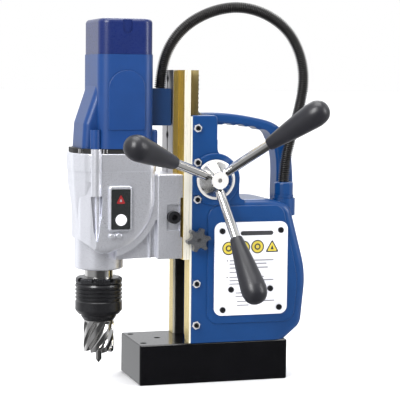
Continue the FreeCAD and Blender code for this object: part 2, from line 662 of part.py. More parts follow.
def lid_plan(grow=0.0):
    g = grow
    return [(-146 - g, -14 - g, 16), (-134 - g, -40 - g, 12), (-62 + g, -40 - g, 10),
            (-62 + g, 40 + g, 10), (-134 - g, 40 + g, 12), (-146 - g, 14 + g, 16)]


def shoulder_loft():
    """The taper from the lid's outline down to the spindle nose."""
    low = [(-139.4, -8, 10), (-131, -22, 8), (-84, -22, 8), (-84, 22, 8), (-131, 22, 8), (-139.4, 8, 10)]
    wires = []
    for plan, z in ((low, 166.0), (lid_plan(-1.0), 210.0)):
        wires.append(rounded_wire(plan, lambda q, z=z: V(q.x, q.y, z)))
    return Part.makeLoft(wires, True)


def screw_pocket():
    """The tapered pocket under the front screw boss, with a half-round ridge inside it."""
    outline = prism_y([(-131, 195.5, 1), (-119.8, 195.5, 1), (-120.6, 176, 20), (-125.0, 147.5, 0.6),
                       (-128.6, 160, 25)], -46, -34.5)
    return outline.cut(rod(3.0, -123.4, -34.4, 140, 60))


def make_gearbox():
    idler_x, idler_y = idler_place()
    bulge = gear_case_bulge()
    collar = prism_z(lid_plan(-1.0), 210, LID_BOTTOM)
    flare = cone(25.5, 31.0, SPINDLE_X, 0, 165, 40)
    nose = rod(25.5, SPINDLE_X, 0, 118, 60)
    nose = nose.makeFillet(2.5, edges_where(nose, lambda b: b.ZMax < 119))
    web = prism_y([(-104, 130, 0), (-60, 131.5, 0), (-60, 216, 0), (-104, 216, 0)], -37, 37)
    bracket = box(-61.5, SLIDE_FRONT - 0.2, -38, 38, 130, 217)
    bracket = bracket.makeFillet(1.5, edges_where(bracket, lambda b: b.XMax < -36 or b.ZLength < 1))
    post_x, post_y = -126.0, -38.4
    post = rod(5.4, post_x, post_y, 195.5, LID_BOTTOM - 195.5)
    back_post = rod(5.4, post_x, -post_y, 195.5, LID_BOTTOM - 195.5)
    frame = block_y(-113.5, -90.9, 160.7, 206, -45.5, -38, 2.5)
    frame = frame.makeFillet(1.2, edges_where(frame, lambda b: b.YMax < -45))
    tabs = [block_y(-113.4, -107.5, 152.8, 157.8, -44.4, -34, 2.4),
            block_y(-106.7, -100.4, 153.2, 158.2, -44.4, -34, 2.4)]
    tabs = [tab.makeFillet(0.8, edges_where(tab, lambda b: b.YMax < -44)) for tab in tabs]
    housing = join(bulge, collar, shoulder_loft(), flare, nose, web, bracket, post, back_post, frame,
                   *tabs)

    housing = housing.cut(block_y(-112, -92, 162, 203, -47, -44.0, 1.5))
    terrace = rod(TERRACE_R, BULGE_X, -50, BULGE_Z, 100, Y_AXIS)
    keep_clear = rod(26, SPINDLE_X, 0, 117, 60)
    for y0, y1 in ((-40, -31), (31, 40)):
        recess = block_y(-110, -61.6, 120, 171, y0, y1, 2).cut(terrace).cut(keep_clear)
        rib = box(-69.2, -68.0, y0 + 5 if y0 < 0 else y0, y1 if y0 < 0 else y1 - 5, 120, 171)
        housing = housing.cut(recess.cut(rib))
    housing = housing.cut(screw_pocket())

    gap = 0.15
    slot = prism_z([(BAR_FRONT - gap, -BAR_HALF_FRONT - gap, 0),
                    (SLIDE_FRONT + 1, -BAR_HALF_BACK - gap + 0.5, 0),
                    (SLIDE_FRONT + 1, BAR_HALF_BACK + gap - 0.5, 0),
                    (BAR_FRONT - gap, BAR_HALF_FRONT + gap, 0)], 129, 218)
    housing = housing.cut(slot)
    housing = housing.cut(box(-52, -38, -39, -35, 159, 186))
    housing = housing.cut(box(-37.6, -34, -39, -26, 152, 193))
    housing = housing.cut(rod(3.5, -45, -38, 173, 18.4, Y_AXIS))

    housing = housing.cut(rod(20, SPINDLE_X, 0, 117, 15)).cut(rod(17, SPINDLE_X, 0, 130, 72))
    housing = housing.cut(rod(20, SPINDLE_X, 0, 188, 12)).cut(rod(22.5, SPINDLE_X, 0, 200, 21))
    housing = housing.cut(rod(16.5, idler_x, idler_y, 201, 20))
    housing = housing.cut(rod(4.05, idler_x, idler_y, 189, 14))
    keep("gearbox_housing", housing)

    lid = prism_z(lid_plan(), LID_BOTTOM + 0.05, LID_TOP)
    lid = lid.makeFillet(1.0, edges_where(lid, lambda b: b.ZMin > LID_TOP - 0.1))
    lid_posts = [rod(5.4, post_x, y, LID_BOTTOM + 0.05, 22.8) for y in (post_y, -post_y)]
    lid = join(lid, *lid_posts)
    lid = lid.cut(rod(16.5, idler_x, idler_y, 219, 13)).cut(rod(8.0, MOTOR_X, 0, 219, 14))
    lid = lid.cut(rod(9.06, SPINDLE_X, 0, 219, 6)).cut(rod(4.05, idler_x, idler_y, 230, 6))
    lid = lid.cut(rod(11.0, MOTOR_X, 0, 231.5, 8))
    keep("gearbox_lid", lid)
    label = block_y(-111.7, -92.3, 162.3, 202.7, -44.9, -44.05, 1.3)
    keep("head_label", label)

    lower = ring(20, 15.03, SPINDLE_X, 0, 119.5, 12)
    upper = ring(20, 12.03, SPINDLE_X, 0, 188.2, 10)
    motor_low = ring(10.9, 4.03, MOTOR_X, 0, 231.7, 6)
    motor_high = ring(9.5, 4.03, MOTOR_X, 0, 345, 7)
    keep("head_bearings", lower, upper, motor_low, motor_high)

    gasket = prism_z(lid_plan(-2.0), LID_TOP + 0.05, MOTOR_BOTTOM - 0.05)
    gasket = gasket.cut(rod(21, MOTOR_X, 0, LID_TOP - 1, 8))
    for y in (post_y, -post_y):
        gasket = gasket.cut(rod(5.5, post_x, y, LID_TOP, 6))
    screws = []
    for x in (-138.0, -116.5, -72.0):
        for y in (-36.4, 36.4):
            in_y = y * 0.66 if x < -130 else y  # the lid is narrower at its front
            screws.append(rod(3.2, x, in_y, LID_TOP + 0.1, 4.6).cut(
                rod(1.6, x, in_y, LID_TOP + 2.5, 3)))
            gasket = gasket.cut(rod(3.3, x, in_y, LID_TOP, 6))
    keep("motor_gasket", gasket)
    keep("gearbox_screws", *screws)

    knob = screw(6.4, 8, 3.45, 15, -45, -35.1, 173, Y_AXIS * -1, 3.0)
    keep("head_clamp_screw", knob)


def motor_plan(x0, x1, half_y, r):
    return [(x0, -half_y, r), (x1, -half_y, r), (x1, half_y, r), (x0, half_y, r)]


def make_motor():
    body = prism_z(motor_plan(-123, -65.5, 39.5, 12), MOTOR_BOTTOM, CAP_BOTTOM)
    flare = prism_y([(-110, 312, 0), (-122, 309, 8), (-136, 268, 8), (-137.5, MOTOR_BOTTOM, 0),
                     (-110, MOTOR_BOTTOM, 0)], -28, 28)
    flare = flare.makeFillet(7, edges_where(flare, lambda b: b.YLength < 1 and b.XMax < -115))
    flange = block_z(-80, -59.5, -31, 31, MOTOR_BOTTOM, 262, 5)
    flange = flange.makeFillet(2, edges_where(flange, lambda b: b.ZMin > 261 and b.XMin > -79))
    boss_low = rod(5.2, -126, -33, MOTOR_BOTTOM, 19)
    boss_low_back = rod(5.2, -126, 33, MOTOR_BOTTOM, 19)
    panel = prism_y([(-114, 262, 2), (-76, 262, 2), (-76, 322, 18.9), (-114, 322, 18.9)], -40.8, -38)
    panel = panel.makeFillet(0.7, edges_where(panel, lambda b: b.YMax < -40.5))
    back_panel = panel.mirror(V(0, 0, 0), Y_AXIS)
    body = join(body, flare, flange, boss_low, boss_low_back, panel, back_panel)
    hollow = prism_z(motor_plan(-119.5, -69, 36, 9), MOTOR_BOTTOM - 1, CAP_BOTTOM + 1)
    body = body.cut(hollow)
    keep("motor_housing", body)

    cap = prism_z(motor_plan(-122.4, -66.1, 39.0, 12), CAP_BOTTOM + 0.05, CAP_TOP)
    cap = cap.makeFillet(4.5, edges_where(cap, lambda b: b.ZMin > CAP_TOP - 0.1))
    cap = cap.cut(prism_z(motor_plan(-119, -69.5, 35.6, 9), CAP_BOTTOM - 1, CAP_TOP - 4))
    seat = rod(12.5, MOTOR_X, 0, 344, CAP_TOP - 346)
    cap = join(cap, seat).cut(rod(9.5, MOTOR_X, 0, 343, 9.2)).cut(rod(5, MOTOR_X, 0, 352, 5))
    for side in (-1, 1):
        notch = block_y(-99, -89.5, 359, 380, 34 if side > 0 else -42, 42 if side > 0 else -34, 4.5)
        keep_out = block_y(-99, -89.5, 359, 380, 30, 37.6, 4.5)
        if side < 0:
            keep_out = keep_out.mirror(V(0, 0, 0), Y_AXIS)
        cap = cap.cut(notch.cut(keep_out))
    for x in (-112, -105, -84, -77):
        slots = box(x - 1.2, x + 1.2, -30, 30, CAP_TOP - 3, CAP_TOP + 1)
        cap = cap.cut(slots.cut(box(x - 2, x + 2, -14, 14, CAP_TOP - 4, CAP_TOP + 2)))
    keep("motor_cap", cap)

    stator = ring(23.8, 17.4, MOTOR_X, 0, 264, 46)
    stator = join(stator, box(-119, -113, -5, 5, 270, 304), box(-76, -69.4, -5, 5, 270, 304))
    keep("motor_stator", stator.cut(rod(17.4, MOTOR_X, 0, 260, 60)))
    brushes = []
    for side in (-1, 1):
        y0 = 11.4 if side > 0 else -34
        brushes.append(box(MOTOR_X - 4, MOTOR_X + 4, y0, y0 + 22.6, 317, 327))
    keep("motor_brushes", *brushes)

    shaft = rod(4.0, MOTOR_X, 0, 231, 122).fuse(
        gear(ARMATURE_TEETH, GEAR_MODULE, 221, 231, MOTOR_X, 0))
    keep("armature_shaft", shaft)
    core = rod(16.6, MOTOR_X, 0, 265, 44).fuse(rod(11, MOTOR_X, 0, 313, 16))
    core = core.fuse(rod(9, MOTOR_X, 0, 309, 4)).fuse(rod(9, MOTOR_X, 0, 258, 7))
    core = core.fuse(rod(21, MOTOR_X, 0, 250, 2))
    for k in range(9):
        blade = box(MOTOR_X + 7, MOTOR_X + 21, -0.8, 0.8, 251, 258)
        core = core.fuse(turned(blade, Z_AXIS, 40 * k, V(MOTOR_X, 0, 0)))
    keep("armature_core", core.cut(rod(4.0, MOTOR_X, 0, 240, 100)))

    block = box(-65.4, -42.2, -20.5, 20.5, 266, 304)
    block = block.makeFillet(2.5, edges_where(block, lambda b: b.XMin > -66 and b.XLength < 1))
    keep("cable_block", block.cut(rod(4.2, -50, 0, 300, 5)))


def mesh_phase(x0, y0, x1, y1, teeth0, phase0, teeth1):
    """The second gear's phase that puts its gaps against the first gear's teeth."""
    line = math.degrees(math.atan2(y1 - y0, x1 - x0))
    along = (line - phase0) / (360.0 / teeth0)
    offset = along - math.floor(along)
    return line + 180 + (offset - 0.5) * 360.0 / teeth1


def idler_big_phase():
    x, y = idler_place()
    return mesh_phase(MOTOR_X, 0, x, y, ARMATURE_TEETH, 0.0, IDLER_BIG_TEETH)


def make_drive():
    x, y = idler_place()
    big = gear(IDLER_BIG_TEETH, GEAR_MODULE, 222, 230, x, y, idler_big_phase())
    small = gear(IDLER_SMALL_TEETH, GEAR_MODULE, 204, 216, x, y, 0.0)
    shaft = rod(4.0, x, y, 190, 45)
    sleeve = rod(6.2, x, y, 216, 6)
    keep("idler_shaft", join(big, small, shaft, sleeve))

    phase = mesh_phase(x, y, SPINDLE_X, 0, IDLER_SMALL_TEETH, 0.0, SPINDLE_TEETH)
    wheel = gear(SPINDLE_TEETH, GEAR_MODULE, 204, 216, SPINDLE_X, 0, phase)
    keep("spindle_gear", wheel.cut(rod(9.0, SPINDLE_X, 0, 200, 20)))
    spindle = revolve([(0, 98), (12, 98), (12, 109), (15, 109), (15, 134), (12, 136), (12, 200),
                       (9, 200), (9, 224), (0, 224)], SPINDLE_X, 0, 0, Z_AXIS)
    spindle = spindle.cut(rod(PILOT_R + 0.1, SPINDLE_X, 0, 97, 18))
    keep("spindle_shaft", spindle)

    body = revolve([(10.2, 65), (16.2, 65), (18.3, 68), (18.3, 103), (23.6, 103), (24.2, 104),
                    (24.2, 107.5), (22.5, CHUCK_TOP), (12.0, CHUCK_TOP), (12.0, 98), (PILOT_R + 0.1, 98),
                    (PILOT_R + 0.1, 95.5), (SHANK_R + 0.04, 95.5), (SHANK_R + 0.04, 66.5),
                    (10.2, 66.0)], SPINDLE_X, 0, 0, Z_AXIS)
    for k in range(8):
        notch = box(20.5, 26, -2.2, 2.2, 105.5, 111)
        notch.translate(V(SPINDLE_X, 0, 0))
        body = body.cut(turned(notch, Z_AXIS, 45 * k + 20, V(SPINDLE_X, 0, 0)))
    keep("chuck_body", body)
    profile = [(18.4, 71), (21.5, 71), (24.5, 75), (24.5, 84)]
    for z in (85.5, 89.5, 93.5, 97.5):
        profile += [(23.2, z), (23.2, z + 1.0), (24.5, z + 1.6), (24.5, z + 3.0)]
    profile += [(23.8, 102.4), (18.4, 102.4)]
    keep("chuck_sleeve", revolve(profile, SPINDLE_X, 0, 0, Z_AXIS))

    cutter = revolve([(PILOT_R + 0.08, 54), (PILOT_R + 0.08, 95), (SHANK_R, 95), (SHANK_R, 66),
                      (10.0, 65), (CUTTER_R, 64.5), (CUTTER_R, 33), (14.4, CUTTER_TIP),
                      (11.0, CUTTER_TIP + 0.8), (11.0, 54)], SPINDLE_X, 0, 0, Z_AXIS)
    for k in range(6):
        flute = box(13.4, 20, -2.6, 2.6, 20, 66)
        flute = turned(flute, X_AXIS, 24, V(0, 0, 45))
        flute.translate(V(SPINDLE_X, 0, 0))
        cutter = cutter.cut(turned(flute, Z_AXIS, 60 * k, V(SPINDLE_X, 0, 0)))
    keep("annular_cutter", cutter)
    pin = rod(PILOT_R, SPINDLE_X, 0, PILOT_TIP + 3.5, 96 - PILOT_TIP)
    pin = pin.fuse(cone(0.5, PILOT_R, SPINDLE_X, 0, PILOT_TIP, 3.5))
    keep("pilot_pin", pin)


# ---------------------------------------------------------------- conduit


def conduit_tube(name, edges, start, direction):
    """A tube along the edges, from start."""
    path = Part.Wire(edges)
    section = Part.Wire(Part.makeCircle(CONDUIT_D / 2, start, direction))
    tube = path.makePipeShell([section], True, True)
    expected = math.pi * (CONDUIT_D / 2) ** 2 * path.Length
    print(f"{name}: length {path.Length:.1f}, volume {tube.Volume:.0f} of {expected:.0f}")
    return tube


def make_conduit():
    """Straight runs joined by tangent arcs as large as the runs allow, in two lengths."""
    route = [V(*p) for p in CONDUIT_ROUTE]
    first_face, last_face = route[0].z, route[-1].z
    route[0] += (route[0] - route[1]).normalize()
    route[-1] += (route[-1] - route[-2]).normalize()
    front, rear = [], []
    edges = front
    start = route[0]
    for i in range(1, len(route) - 1):
        p = route[i]
        a = route[i - 1] - p
        b = route[i + 1] - p
        cut = 0.45 * min(a.Length, b.Length)
        half_turn = (math.pi - a.getAngle(b)) / 2
        radius = cut / math.tan(half_turn)
        print(f"conduit point {i}: turn {math.degrees(2 * half_turn):.1f}, radius {radius:.1f}")
        a.normalize()
        b.normalize()
        middle = (a + b).normalize()
        centre = p + middle * (radius / math.cos(half_turn))
        entry, leave = p + a * cut, p + b * cut
        if i == CONDUIT_SPLIT:
            meeting = (start + entry) * 0.5
            heading = entry - start
            front.append(Part.LineSegment(start, meeting).toShape())
            start = meeting
            edges = rear
        edges.append(Part.LineSegment(start, entry).toShape())
        edges.append(Part.Arc(entry, centre - middle * radius, leave).toShape())
        start = leave
    edges.append(Part.LineSegment(start, route[-1]).toShape())
    print(f"conduit lengths meet at {meeting}")
    tube = conduit_tube("conduit_front", front, route[0], route[1] - route[0])
    x, y, z = route[0]
    keep("conduit_front", tube.cut(box(x - 9, x + 9, y - 9, y + 9, z - 3, first_face + 0.05)))
    tube = conduit_tube("conduit_rear", rear, meeting, heading)
    x, y, z = route[-1]
    keep("conduit_rear", tube.cut(box(x - 9, x + 9, y - 9, y + 9, z - 3, last_face + 0.05)))


# ---------------------------------------------------------------- build


def main():
    make_magnet()
    make_casting()
    make_guides()
    make_covers()
    make_conduit_gland()
    make_feed_shaft()
    make_lock_knob()
    make_slide()
    make_gearbox()
    make_motor()
    make_drive()
    make_conduit()
    os.makedirs("parts", exist_ok=True)
    for name, shape in PARTS.items():
        state = "valid" if shape.isValid() else "NOT VALID"
        print(f"{name}: {len(shape.Solids)} solid(s), {shape.Volume:.0f} mm3, {state}")
        shape.exportStep(f"parts/{name}.step")


main()
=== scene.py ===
"""Looks of the magnetic drill press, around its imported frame. Metres, in the frame's own axes."""

import json
import math

import bmesh
import bpy
from mathutils import Matrix, Vector


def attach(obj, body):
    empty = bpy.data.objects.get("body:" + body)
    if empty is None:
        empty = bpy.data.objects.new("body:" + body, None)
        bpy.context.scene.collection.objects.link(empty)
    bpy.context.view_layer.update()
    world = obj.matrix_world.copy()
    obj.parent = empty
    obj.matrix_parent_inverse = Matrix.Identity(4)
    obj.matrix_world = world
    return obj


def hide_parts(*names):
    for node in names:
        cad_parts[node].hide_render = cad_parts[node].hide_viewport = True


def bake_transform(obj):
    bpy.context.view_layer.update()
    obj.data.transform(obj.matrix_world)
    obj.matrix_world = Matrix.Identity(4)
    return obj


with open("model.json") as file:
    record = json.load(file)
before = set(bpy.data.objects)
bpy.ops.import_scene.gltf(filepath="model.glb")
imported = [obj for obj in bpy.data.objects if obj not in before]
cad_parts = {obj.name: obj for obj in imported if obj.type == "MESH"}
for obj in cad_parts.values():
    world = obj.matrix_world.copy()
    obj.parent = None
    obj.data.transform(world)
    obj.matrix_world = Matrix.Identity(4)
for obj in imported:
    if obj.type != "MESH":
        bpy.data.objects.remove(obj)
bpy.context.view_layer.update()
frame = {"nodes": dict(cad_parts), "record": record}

MM = 0.001
NODES = frame["nodes"]


# ---------------------------------------------------------------- small helpers


def link(name, data):
    """Adds an object that shows data to the scene."""
    item = bpy.data.objects.new(name, data)
    bpy.context.scene.collection.objects.link(item)
    return item


def mesh_piece(name, bm, material):
    """Turns a bmesh into a smooth object of one material."""
    bmesh.ops.recalc_face_normals(bm, faces=bm.faces[:])
    mesh = bpy.data.meshes.new(name)
    bm.to_mesh(mesh)
    bm.free()
    mesh.materials.append(material)
    mesh.shade_smooth()
    return link(name, mesh)


def make_piece(name, bm, body, material, crease):
    """A piece that rides on a body. Edges of more than crease degrees stay sharp."""
    piece = mesh_piece(name, bm, material)
    piece.data.set_sharp_from_angle(angle=math.radians(crease))
    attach(piece, body)
    return piece


def axes_for(direction, forward="Z", up="Y"):
    """A rotation that takes the forward axis to direction."""
    return Vector(direction).to_track_quat(forward, up).to_matrix().to_4x4()


def looking(place, target):
    """Where a camera or a light stands, turned to look at target."""
    return Matrix.Translation(place) @ axes_for(Vector(target) - Vector(place), "-Z")


def circle(radius, count):
    """Points round the origin, as (x, y)."""
    turns = [2 * math.pi * k / count for k in range(count)]
    return [(radius * math.cos(t), radius * math.sin(t)) for t in turns]


def bridge(bm, low, high):
    """Joins two rings of equally many points with a band of faces."""
    for k in range(len(low)):
        n = (k + 1) % len(low)
        bm.faces.new((low[k], low[n], high[n], high[k]))


LATHE_SEGMENTS = 72
ON_AXIS = 1e-7


def lathe(bm, profile, place):
    """Adds a turned shape. profile is (radius, along) in metres, from one end to the other."""
    rings = []
    for r, a in profile:
        points = [(0, 0)] if r < ON_AXIS else circle(r, LATHE_SEGMENTS)
        rings.append([bm.verts.new(place @ Vector((x, y, a))) for x, y in points])
    for low, high in zip(rings, rings[1:]):
        for k in range(LATHE_SEGMENTS):
            n = (k + 1) % LATHE_SEGMENTS
            quad = [low[k % len(low)], low[n % len(low)], high[n % len(high)], high[k % len(high)]]
            corners = list(dict.fromkeys(quad))
            if len(corners) > 2:
                bm.faces.new(corners)
    for ring in (rings[0], rings[-1]):
        if len(ring) > 1:
            bm.faces.new(ring)


def spline_points(points, steps):
    """A smooth line through a few points, with steps points on each stretch."""
    out = []
    padded = [points[0] * 2 - points[1]] + points + [points[-1] * 2 - points[-2]]
    for a, b, c, d in zip(padded, padded[1:], padded[2:], padded[3:]):
        for k in range(steps):
            t = k / steps
            out.append(0.5 * ((2 * b) + (c - a) * t + (2 * a - 5 * b + 4 * c - d) * t * t
                              + (3 * b - a - 3 * c + d) * t ** 3))
    return out + [points[-1]]


# ---------------------------------------------------------------- shader nodes


NOISE_LOW, NOISE_MID, NOISE_HIGH = 0.3, 0.5, 0.7  # nearly all of a noise is in this range
PATCH_DETAIL = 4.0
GRAIN_DETAIL = 6.0
BUMP_DISTANCE = 0.0002
MIX_SOCKETS = {"FLOAT": (2, 3, 0), "RGBA": (6, 7, 2)}  # the two inputs and the output of a Mix node


def new_material(name):
    """A material with its node tree, its shader and a point's place on the object."""
    material = bpy.data.materials.new(name)
    material.use_nodes = True
    tree = material.node_tree
    return material, tree, tree.nodes["Principled BSDF"], object_place(tree)


def object_place(tree):
    """A point's place in the object's own axes, which are the frame's."""
    return tree.nodes.new("ShaderNodeTexCoord").outputs["Object"]


def noise(tree, vector, scale, detail=PATCH_DETAIL, stretch=None):
    """A noise of that scale, drawn out along an axis where stretch is small."""
    if stretch:
        mapping = tree.nodes.new("ShaderNodeMapping")
        mapping.inputs["Scale"].default_value = stretch
        tree.links.new(vector, mapping.inputs["Vector"])
        vector = mapping.outputs["Vector"]
    texture = tree.nodes.new("ShaderNodeTexNoise")
    texture.inputs["Scale"].default_value = scale
    texture.inputs["Detail"].default_value = detail
    tree.links.new(vector, texture.inputs["Vector"])
    return texture.outputs["Fac"]


def ramp(tree, factor, stops):
    """A colour ramp through stops of (position, colour)."""
    node = tree.nodes.new("ShaderNodeValToRGB")
    node.color_ramp.elements[0].position = stops[0][0]
    node.color_ramp.elements[0].color = (*stops[0][1], 1)
    node.color_ramp.elements[1].position = stops[-1][0]
    node.color_ramp.elements[1].color = (*stops[-1][1], 1)
    for place, colour in stops[1:-1]:
        node.color_ramp.elements.new(place).color = (*colour, 1)
    tree.links.new(factor, node.inputs["Fac"])
    return node.outputs["Color"]


def spread(tree, factor, low, high):
    """Takes a noise to values between low and high."""
    return map_range(tree, factor, (NOISE_LOW, NOISE_HIGH), (low, high)).outputs["Result"]


def map_range(tree, value, source, target):
    """A node that takes the source range to the target range."""
    node = tree.nodes.new("ShaderNodeMapRange")
    node.inputs["From Min"].default_value, node.inputs["From Max"].default_value = source
    node.inputs["To Min"].default_value, node.inputs["To Max"].default_value = target
    tree.links.new(value, node.inputs["Value"])
    return node


def calculate(tree, operation, a, b):
    """A Math node. a is a socket, b is a socket or a number."""
    node = tree.nodes.new("ShaderNodeMath")
    node.operation = operation
    tree.links.new(a, node.inputs[0])
    if isinstance(b, float):
        node.inputs[1].default_value = b
    else:
        tree.links.new(b, node.inputs[1])
    return node.outputs[0]


def combine(tree, operation, values):
    """Adds or multiplies several values."""
    total = values[0]
    for value in values[1:]:
        total = calculate(tree, operation, total, value)
    return total


def mix(tree, kind, factor, a, b):
    """A mix of two values, kind FLOAT, or of two colours, kind RGBA."""
    input_a, input_b, output = MIX_SOCKETS[kind]
    node = tree.nodes.new("ShaderNodeMix")
    node.data_type = kind
    tree.links.new(factor, node.inputs[0])
    tree.links.new(a, node.inputs[input_a])
    tree.links.new(b, node.inputs[input_b])
    return node.outputs[output]


def split_axes(tree, vector):
    """The x, y and z of a vector."""
    node = tree.nodes.new("ShaderNodeSeparateXYZ")
    tree.links.new(vector, node.inputs[0])
    return node.outputs


def bump(tree, shader, height, strength):
    """Roughens the shader's normal with a height."""
    node = tree.nodes.new("ShaderNodeBump")
    node.inputs["Strength"].default_value = strength
    node.inputs["Distance"].default_value = BUMP_DISTANCE
    tree.links.new(height, node.inputs["Height"])
    tree.links.new(node.outputs["Normal"], shader.inputs["Normal"])


# ---------------------------------------------------------------- materials


def finish_material(name, colour, rough, metal=0.0, vary=0.08, patch=60.0, grain=900.0,
                    grain_depth=0.08, stretch=None, coat=0.0, coat_rough=0.1, rough_vary=0.06):
    """A surface whose colour and gloss drift in soft patches over a fine grain."""
    material, tree, shader, where = new_material(name)
    low = tuple(c * (1 - vary) for c in colour)
    high = tuple(min(1.0, c * (1 + vary)) for c in colour)
    stops = [(NOISE_LOW, low), (NOISE_MID, colour), (NOISE_HIGH, high)]
    tree.links.new(ramp(tree, noise(tree, where, patch), stops), shader.inputs["Base Color"])
    fine = noise(tree, where, grain, GRAIN_DETAIL, stretch)
    tree.links.new(spread(tree, fine, rough - rough_vary, rough + rough_vary),
                   shader.inputs["Roughness"])
    shader.inputs["Metallic"].default_value = metal
    shader.inputs["Coat Weight"].default_value = coat
    shader.inputs["Coat Roughness"].default_value = coat_rough
    bump(tree, shader, fine, grain_depth)
    return material


BRUSHED_Z = (1.0, 1.0, 0.03)
BODY_PAINT = dict(colour=(0.0012, 0.042, 0.165), rough=0.33, vary=0.05, grain=1700,
                  grain_depth=0.04, coat=0.12, coat_rough=0.12)
MATERIALS = {
    "body_blue": finish_material("body_blue_paint", **BODY_PAINT),
    "body_blue_plastic": finish_material("block_blue_plastic", (0.0025, 0.030, 0.115), 0.40,
                                         vary=0.05, grain=1500, grain_depth=0.08),
    "motor_blue": finish_material("motor_blue_plastic", (0.005, 0.040, 0.165), 0.36, vary=0.05,
                                  grain=1600, grain_depth=0.05),
    "motor_navy": finish_material("motor_navy_plastic", (0.006, 0.016, 0.095), 0.30, vary=0.06,
                                  grain=1600, grain_depth=0.04, coat=0.08),
    "cast_aluminium": finish_material("cast_aluminium", (0.87, 0.88, 0.94), 0.29, 0.78, vary=0.03,
                                      patch=25, grain=2400, grain_depth=0.015, rough_vary=0.03),
    "magnet_black": finish_material("magnet_black_gloss", (0.003, 0.003, 0.004), 0.20, vary=0.2,
                                    grain=900, grain_depth=0.03, coat=0.2, coat_rough=0.08),
    "guide_brass": finish_material("guide_brass", (0.80, 0.64, 0.30), 0.30, 1.0, vary=0.08,
                                   grain=1200, grain_depth=0.08, stretch=BRUSHED_Z),
    "bar_steel": finish_material("bar_steel_ground", (0.50, 0.49, 0.50), 0.34, 1.0, vary=0.05,
                                 grain=1500, grain_depth=0.06, stretch=BRUSHED_Z),
    "chrome": finish_material("polished_chrome", (0.83, 0.82, 0.80), 0.08, 1.0, vary=0.02,
                              grain=1500, grain_depth=0.01, rough_vary=0.03),
    "bright_steel": finish_material("bright_steel", (0.72, 0.71, 0.70), 0.18, 1.0, vary=0.06,
                                    grain=1800, grain_depth=0.05, rough_vary=0.06),
    "machined_steel": finish_material("machined_steel", (0.50, 0.50, 0.51), 0.30, 1.0, vary=0.08,
                                      grain=1400, grain_depth=0.08),
    "fastener_steel": finish_material("zinc_plated_steel", (0.60, 0.58, 0.52), 0.30, 1.0, vary=0.1,
                                      grain=1400, grain_depth=0.06),
    "black_steel": finish_material("black_oxide_steel", (0.030, 0.030, 0.034), 0.36, 0.6, vary=0.2,
                                   grain=1800, grain_depth=0.10),
    "knob_black": finish_material("knob_satin_black", (0.014, 0.014, 0.018), 0.36, vary=0.12,
                                  grain=1800, grain_depth=0.06, coat=0.1, coat_rough=0.3),
    "star_grey": finish_material("star_knob_grey", (0.13, 0.135, 0.145), 0.28, 0.55, vary=0.12,
                                 grain=1800, grain_depth=0.06),
    "dark_steel": finish_material("blued_steel", (0.07, 0.07, 0.075), 0.26, 0.85, vary=0.15,
                                  grain=1600, grain_depth=0.05),
    "chuck_black": finish_material("chuck_black_coat", (0.014, 0.014, 0.016), 0.30, 0.2, vary=0.2,
                                   grain=1600, grain_depth=0.06, coat=0.3),
    "plate_white": finish_material("plate_white_print", (0.82, 0.82, 0.86), 0.28, vary=0.02,
                                   grain=900, grain_depth=0.03, coat=0.3),
    "panel_black": finish_material("panel_black_plastic", (0.022, 0.022, 0.024), 0.48, vary=0.15,
                                   grain=2200, grain_depth=0.25),
    "label_black": finish_material("label_black_print", (0.018, 0.020, 0.020), 0.22, vary=0.1,
                                   grain=900, grain_depth=0.02, coat=0.4),
    "gasket_black": finish_material("gasket_rubber", (0.012, 0.012, 0.012), 0.60, vary=0.2,
                                    grain=2500, grain_depth=0.2),
    "conduit_black": finish_material("conduit_black_pvc", (0.010, 0.009, 0.009), 0.34, vary=0.15,
                                     grain=1500, grain_depth=0.04),
    "rocker_red": finish_material("rocker_red_plastic", (0.50, 0.020, 0.018), 0.25, vary=0.06,
                                  grain=1500, grain_depth=0.04, coat=0.3),
    "button_green": finish_material("button_green_plastic", (0.02, 0.30, 0.07), 0.28, vary=0.06,
                                    grain=1500, grain_depth=0.04, coat=0.3),
    "button_red": finish_material("button_red_plastic", (0.55, 0.020, 0.018), 0.28, vary=0.06,
                                  grain=1500, grain_depth=0.04, coat=0.3),
    "lamp_lens": finish_material("lamp_lens_red", (0.62, 0.05, 0.02), 0.12, vary=0.05,
                                 grain=900, grain_depth=0.03, coat=0.5),
    "board_green": finish_material("circuit_board_green", (0.015, 0.15, 0.05), 0.35, vary=0.25,
                                   patch=300, grain=900, grain_depth=0.3),
    "bush_bronze": finish_material("sintered_bronze", (0.55, 0.36, 0.17), 0.42, 1.0, vary=0.12,
                                   grain=2200, grain_depth=0.2),
    "copper": finish_material("enamelled_copper", (0.55, 0.22, 0.09), 0.35, 0.9, vary=0.15,
                              grain=900, grain_depth=0.4, stretch=(1, 1, 4)),
    "resin": finish_material("potting_resin", (0.05, 0.05, 0.055), 0.42, vary=0.15,
                             grain=300, grain_depth=0.15),
    "lamination_steel": finish_material("lamination_steel", (0.20, 0.19, 0.19), 0.45, 0.8,
                                        vary=0.15, grain=1200, grain_depth=0.5,
                                        stretch=(0.05, 0.05, 3)),
    "carbon": finish_material("brush_carbon", (0.03, 0.03, 0.03), 0.55, vary=0.2,
                              grain=2000, grain_depth=0.2),
    "badge_yellow": finish_material("badge_yellow_print", (0.62, 0.50, 0.06), 0.35, vary=0.04,
                                    grain=900, grain_depth=0.02),
    "badge_red": finish_material("badge_red_print", (0.24, 0.010, 0.012), 0.32, vary=0.05,
                                 grain=900, grain_depth=0.02),
    "print_grey": finish_material("print_grey", (0.045, 0.045, 0.05), 0.40, vary=0.08,
                                  grain=900, grain_depth=0.02),
    "print_pale": finish_material("print_pale_grey", (0.26, 0.26, 0.28), 0.40, vary=0.06,
                                  grain=900, grain_depth=0.02),
}


